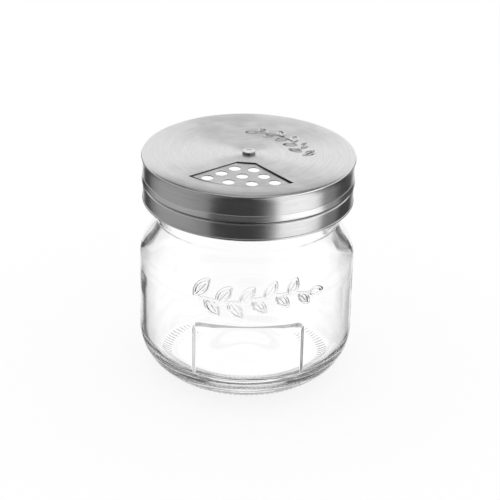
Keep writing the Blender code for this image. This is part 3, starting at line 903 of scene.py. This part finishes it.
lid = {
    "top": boxOf("dial_cover")[1][2],
    "rim": 41.5,
    "rimRound": 0.6,
    "rimSlope": 0.9,
    "rimFall": 0.16,
    "tuckHigh": 1.3,
    "tuckLow": 1.55,
    "band": 40.9,
    "beadTop": 82.4,
    "bead": 41.35,
    "beadRound": 0.35,
    "skirtLow": boxOf("dial_cover")[0][2],
    "curl": 40.4,
    "pivotHole": 2.2,
    "sheet": 0.4,
    "coverSheet": 0.3,
    "capWall": 39.8,
    "capCorner": 1.2,
    "capStep": 0.9,
    "deck": 89.5,
    "platform": 89.95,
    "recess": 6.3,
    "platformFrom": 9.0,
    "platformEdge": 31.0,
    "deckEdge": 36.0,
    "capLow": boxOf("screw_cap")[0][2],
    "bandTop": 79.3,
    "hemProud": 0.22,
    "hemHeight": 1.0,
    "hemLip": 39.8,
}
window = {
    "bearing": radians(-8.0),
    "apex": 5.64,
    "inner": 9.3,
    "innerHalf": 3.6,
    "outer": 32.65,
    "outerPoints": 48,
    "halfAngle": radians(44.5),
}
holes = {
    "bearing": -8.0,
    "coarseRadius": 2.35,
    "firstRow": 15.4,
    "rowStep": 6.45,
    "fineRadius": 1.0,
    "fineFirst": 15.55,
    "fineStep": 4.7,
    "rise": 0.29,
    "riseOut": 0.2,
    "riseRight": 0.1,
}
coarseRows = ((2, 27.1), (3, 21.7), (4, 17.8))  # holes in the row, degrees between them
fineRows = ((3, 20.5), (4, 15.6), (5, 12.6), (6, 10.6))
fineTurn = 120.0
drillLength = 3.0 * mm
deckZones = {  # where the deck's raised part leans: two along the radius, one along X, one along Y
    "inner": (9.0, 10.0),
    "slope": (10.0, 31.0),
    "right": (-4.0, 8.0),
    "front": (-2.0, 2.0),
}
lidSprig = {
    "length": 31.0,
    "wave": 0.5,
    "leaves": 10,
    "leafLength": 6.2,
    "leafWidth": 3.0,
    "lean": radians(50),
    "taper": 0.25,
    "lineHalf": 0.42,
    "depth": 0.3,
    "groove": 0.0,
}
lidSprigPlace = {"bearing": radians(37), "radius": 21.0}
sharpEdge = radians(35)
lidGrid = {  # rings and bearings that the flat top is cut into, close together where the sprig is
    "within": [6.0, 10.0, 13.0],
    "beyond": [27.5, 31.0, 36.0],
    "stampFrom": 13.2,
    "stampStep": 0.2,
    "stampRings": 71,
    "stampHalf": 60,
    "stampTurn": 0.4,
    "plainTurn": 1.5,
    "even": 288,
}


def windowOutline():  # a wedge with a short inner side and a curved outer one
    w = window
    reach = w["apex"] * cos(w["halfAngle"])
    side = -reach + sqrt(reach ** 2 + w["outer"] ** 2 - w["apex"] ** 2)
    half = atan2(side * sin(w["halfAngle"]), w["apex"] + side * cos(w["halfAngle"]))
    corners = [(-w["innerHalf"], w["inner"]), (w["innerHalf"], w["inner"])]
    for i in range(w["outerPoints"] + 1):
        angle = half - 2 * half * i / w["outerPoints"]
        corners.append((w["outer"] * sin(angle), w["outer"] * cos(angle)))
    outline = []
    for across, along in corners:
        radius, angle = hypot(across, along), w["bearing"] + atan2(across, along)
        outline.append((radius * sin(angle), -radius * cos(angle)))
    return outline


def prism(name, outline, low, high):
    count = len(outline)
    verts = [(x * mm, y * mm, z * mm) for z in (low, high) for x, y in outline]
    faces = [tuple(range(count))[::-1], tuple(range(count, 2 * count))]
    faces += [(i, (i + 1) % count, count + (i + 1) % count, count + i) for i in range(count)]
    mesh = bpy.data.meshes.new(name)
    mesh.from_pydata(verts, [], faces)
    bm = bmesh.new()
    bm.from_mesh(mesh)
    bmesh.ops.recalc_face_normals(bm, faces=bm.faces)
    bm.to_mesh(mesh)
    bm.free()
    return makePiece(name, mesh)


def cutMesh(mesh, cutter):
    grower = makePiece("cutting", mesh)
    cut = grower.modifiers.new("Cut", "BOOLEAN")
    cut.operation = "DIFFERENCE"
    cut.solver = "EXACT"
    cut.object = cutter
    piece = keepPlain("cut", grower)
    plain = piece.data
    bpy.data.objects.remove(piece, do_unlink=True)
    bpy.data.objects.remove(cutter, do_unlink=True)
    return plain


def finishSteel(piece, node, body):
    piece.data.shade_smooth()
    piece.data.set_sharp_from_angle(angle=sharpEdge)
    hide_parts(node)
    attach(piece, body)
    print(piece.name, len(piece.data.polygons), "faces")


def stampDial(tree, mesh, size):
    x, y, z = positionParts(tree)
    turned = lidSprigPlace["bearing"]
    aside = y * cos(turned) - x * sin(turned)
    ahead = x * cos(turned) + y * sin(turned)
    along = aside.math("ARCTAN2", ahead) * size["sprigRadius"]
    outward = (x * x + y * y).math("SQRT") - size["sprigRadius"]
    height = sprigHeight(tree, along, outward, lidSprig) * z.step(size["top"] - 0.1, size["top"] - 0.05)
    return movePoints(tree, mesh, joinXyz(tree, 0.0, 0.0, height * mm))


def makeDial():
    d = lid
    middle = 90 + degrees(lidSprigPlace["bearing"])
    first, last = middle - lidGrid["stampHalf"], middle + lidGrid["stampHalf"]
    angles = spanAngles((first, last, lidGrid["stampTurn"]), (last, first + 360, lidGrid["plainTurn"]))
    within = [d["pivotHole"]] + lidGrid["within"]
    beyond = lidGrid["beyond"] + [d["rim"] - d["rimSlope"] - d["rimRound"]]
    stamp = [lidGrid["stampFrom"] + lidGrid["stampStep"] * i for i in range(lidGrid["stampRings"])]
    rimCentre = (d["rim"] - d["rimRound"], d["top"] - d["rimFall"] - d["rimRound"])
    beadFoot = d["skirtLow"] + d["beadRound"]
    skirt = joinPaths(
        roundPath(rimCentre, d["rimRound"], 80, -40, 0.12),
        [(d["band"] + 0.1, d["top"] - d["tuckHigh"]), (d["band"], d["top"] - d["tuckLow"])],
        linePath((d["band"], d["top"] - d["tuckLow"]), (d["band"], d["beadTop"]), 2.0),
        linePath((d["band"] + 0.08, d["beadTop"] - 0.06), (d["bead"], beadFoot), 0.5),
        roundPath((d["bead"] - d["beadRound"], beadFoot), d["beadRound"], 0, -90, 0.1),
        [(d["curl"], d["skirtLow"])],
    )
    outer = joinPaths([(r, d["top"]) for r in within + stamp + beyond], skirt)
    behind = joinPaths([(r, d["top"]) for r in within + beyond], skirt)
    mesh = ringMesh("dialCover", sheetRings(outer, d["coverSheet"], angles, behind))
    reach = 4 * d["coverSheet"]
    mesh = cutMesh(mesh, prism("windowCutter", windowOutline(), d["top"] - reach, d["top"] + reach))
    sizes = {"top": d["top"], "sprigRadius": lidSprigPlace["radius"]}
    piece = growMesh("dialCover", mesh, stampDial, sizes, finish["dial"])
    finishSteel(piece, "dial_cover", "dial")


def pierceDeck(tree, mesh, size):
    cutters = tree.nodes.new("GeometryNodeJoinGeometry")
    stations = ((coarseRows, "coarseRadius", "firstRow", "rowStep", 0.0, 48),
                (fineRows, "fineRadius", "fineFirst", "fineStep", fineTurn, 20))
    for rows, radius, first, step, turned, sides in stations:
        spots = tree.nodes.new("GeometryNodeJoinGeometry")
        for row, (count, between) in enumerate(rows):
            points = addNode(tree, "GeometryNodePoints", Count=count)
            index = Wire(tree, tree.nodes.new("GeometryNodeInputIndex").outputs[0])
            angle = (size["bearing"] + turned + (index - (count - 1) / 2) * between) * (pi / 180)
            reach = (size[first] + size[step] * row) * mm
            ahead = angle.math("COSINE") * reach * -1.0
            place = joinXyz(tree, angle.math("SINE") * reach, ahead, size["deck"] * mm)
            tree.links.new(placePoints(tree, points.outputs[0], place), spots.inputs[0])
        drill = addNode(tree, "GeometryNodeMeshCylinder", Vertices=sides, Depth=drillLength)
        plug(tree, drill.inputs["Radius"], size[radius] * mm)
        spread = tree.nodes.new("GeometryNodeInstanceOnPoints")
        tree.links.new(spots.outputs[0], spread.inputs["Points"])
        tree.links.new(drill.outputs[0], spread.inputs["Instance"])
        tree.links.new(spread.outputs[0], cutters.inputs[0])
    real = tree.nodes.new("GeometryNodeRealizeInstances")
    tree.links.new(cutters.outputs[0], real.inputs[0])
    x, y, z = positionParts(tree)
    radius = (x * x + y * y).math("SQRT")
    raised = z.step(size["flat"] - 0.2, size["flat"] + 0.1) * radius.step(*deckZones["inner"])
    leftRise = radius.step(*deckZones["slope"], size["rise"], size["riseOut"], "LINEAR")
    rightRise = radius.step(*deckZones["slope"], size["riseRight"], 0.0, "LINEAR")
    lean = blendTo(leftRise, rightRise, x.step(*deckZones["right"]))
    lean = lean * raised * y.step(*deckZones["front"], 1.0, 0.0)
    leaning = movePoints(tree, mesh, joinXyz(tree, 0.0, 0.0, lean * mm))
    cut = tree.nodes.new("GeometryNodeMeshBoolean")
    cut.operation = "DIFFERENCE"
    cut.solver = "EXACT"
    tree.links.new(leaning, cut.inputs["Mesh 1"])
    tree.links.new(real.outputs[0], cut.inputs["Mesh 2"])
    return cut.outputs[0]


def makeCap():
    d = lid
    angles = evenAngles(lidGrid["even"])
    hem = d["band"] + d["hemProud"]
    hemRound = d["hemHeight"] / 2
    cornerLow = d["deck"] - d["capCorner"]
    stepLow = d["bandTop"] - d["capStep"]
    hemTop = d["capLow"] + d["hemHeight"] + 0.3
    outer = joinPaths(
        [(d["pivotHole"], d["deck"]), (d["recess"], d["deck"]), (d["recess"] + 0.2, d["deck"] + 0.06)],
        [(d["recess"] + 0.4, d["platform"] - 0.06), (d["recess"] + 0.6, d["platform"])],
        linePath((d["platformFrom"], d["platform"]), (d["platformEdge"], d["platform"]), 1.0),
        [(d["platformEdge"] + 0.6, d["deck"]), (d["deckEdge"], d["deck"])],
        roundPath((d["capWall"] - d["capCorner"], cornerLow), d["capCorner"], 90, 0, 0.25),
        linePath((d["capWall"], cornerLow), (d["capWall"], d["bandTop"]), 3.0),
        arcPath((d["capWall"], stepLow), (d["band"] - d["capWall"], d["capStep"]), 90, 0, 0.15),
        linePath((d["band"], stepLow), (d["band"], hemTop), 2.0),
        roundPath((hem - hemRound, d["capLow"] + hemRound), hemRound, 60, -90, 0.15),
        [(d["hemLip"], d["capLow"])],
    )
    mesh = ringMesh("screwCap", sheetRings(outer, d["sheet"], angles))
    sizes = dict(holes, deck=d["platform"], flat=d["deck"])
    piece = growMesh("screwCap", mesh, pierceDeck, sizes, finish["cap"])
    finishSteel(piece, "screw_cap", "cap")


rivet = {
    "headLow": 90.66,
    "headTop": 91.55,
    "head": 2.6,
    "shank": 1.9,
    "round": 0.25,
    "dimple": 1.6,
    "dimpleDepth": 0.1,
    "dimpleRings": 6,
    "around": 96,
    "neck": 2.48,
    "tail": 2.9,
    "tailHeight": 0.8,
    "tailLow": boxOf("pivot_rivet")[0][2],
}


def makeRivet():
    r = rivet
    tailHalf = r["tailHeight"] / 2
    dimple = []
    for i in range(r["dimpleRings"] + 1):
        share = i / r["dimpleRings"]
        dimple.append((r["dimple"] * share, r["headTop"] - r["dimpleDepth"] * cos(pi / 2 * share ** 2)))
    path = joinPaths(
        dimple,
        roundPath((r["head"] - r["round"], r["headTop"] - r["round"]), r["round"], 90, 0, 0.06),
        [(r["head"], r["headTop"] - 0.5), (r["neck"], r["headTop"] - 0.6), (r["neck"], r["headLow"])],
        [(r["shank"], r["headLow"]), (r["shank"], r["tailLow"] + r["tailHeight"])],
        arcPath((r["shank"], r["tailLow"] + tailHalf), (r["tail"] - r["shank"], tailHalf), 90, -90, 0.15),
        [(0.0, r["tailLow"])],
    )
    angles = evenAngles(r["around"])
    mesh = ringMesh("pivotRivet", [(radius, height, angles) for radius, height in path], closed=False)
    mesh.materials.append(finish["rivet"])
    finishSteel(makePiece("pivotRivet", mesh), "pivot_rivet", "cap")


def dressHidden():
    for node, name in (("seal_ring", "seal"), ("thread_insert", "insert"), ("glide_washer", "glide"),
                       ("disc_spring", "spring"), ("retaining_washer", "washer")):
        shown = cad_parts[node]
        shown.data.materials.clear()
        shown.data.materials.append(finish[name])


makeCamera()
makeWorld()
makeFloor()
print("studio")
makeJar()
makeDial()
makeCap()
makeRivet()
dressHidden()
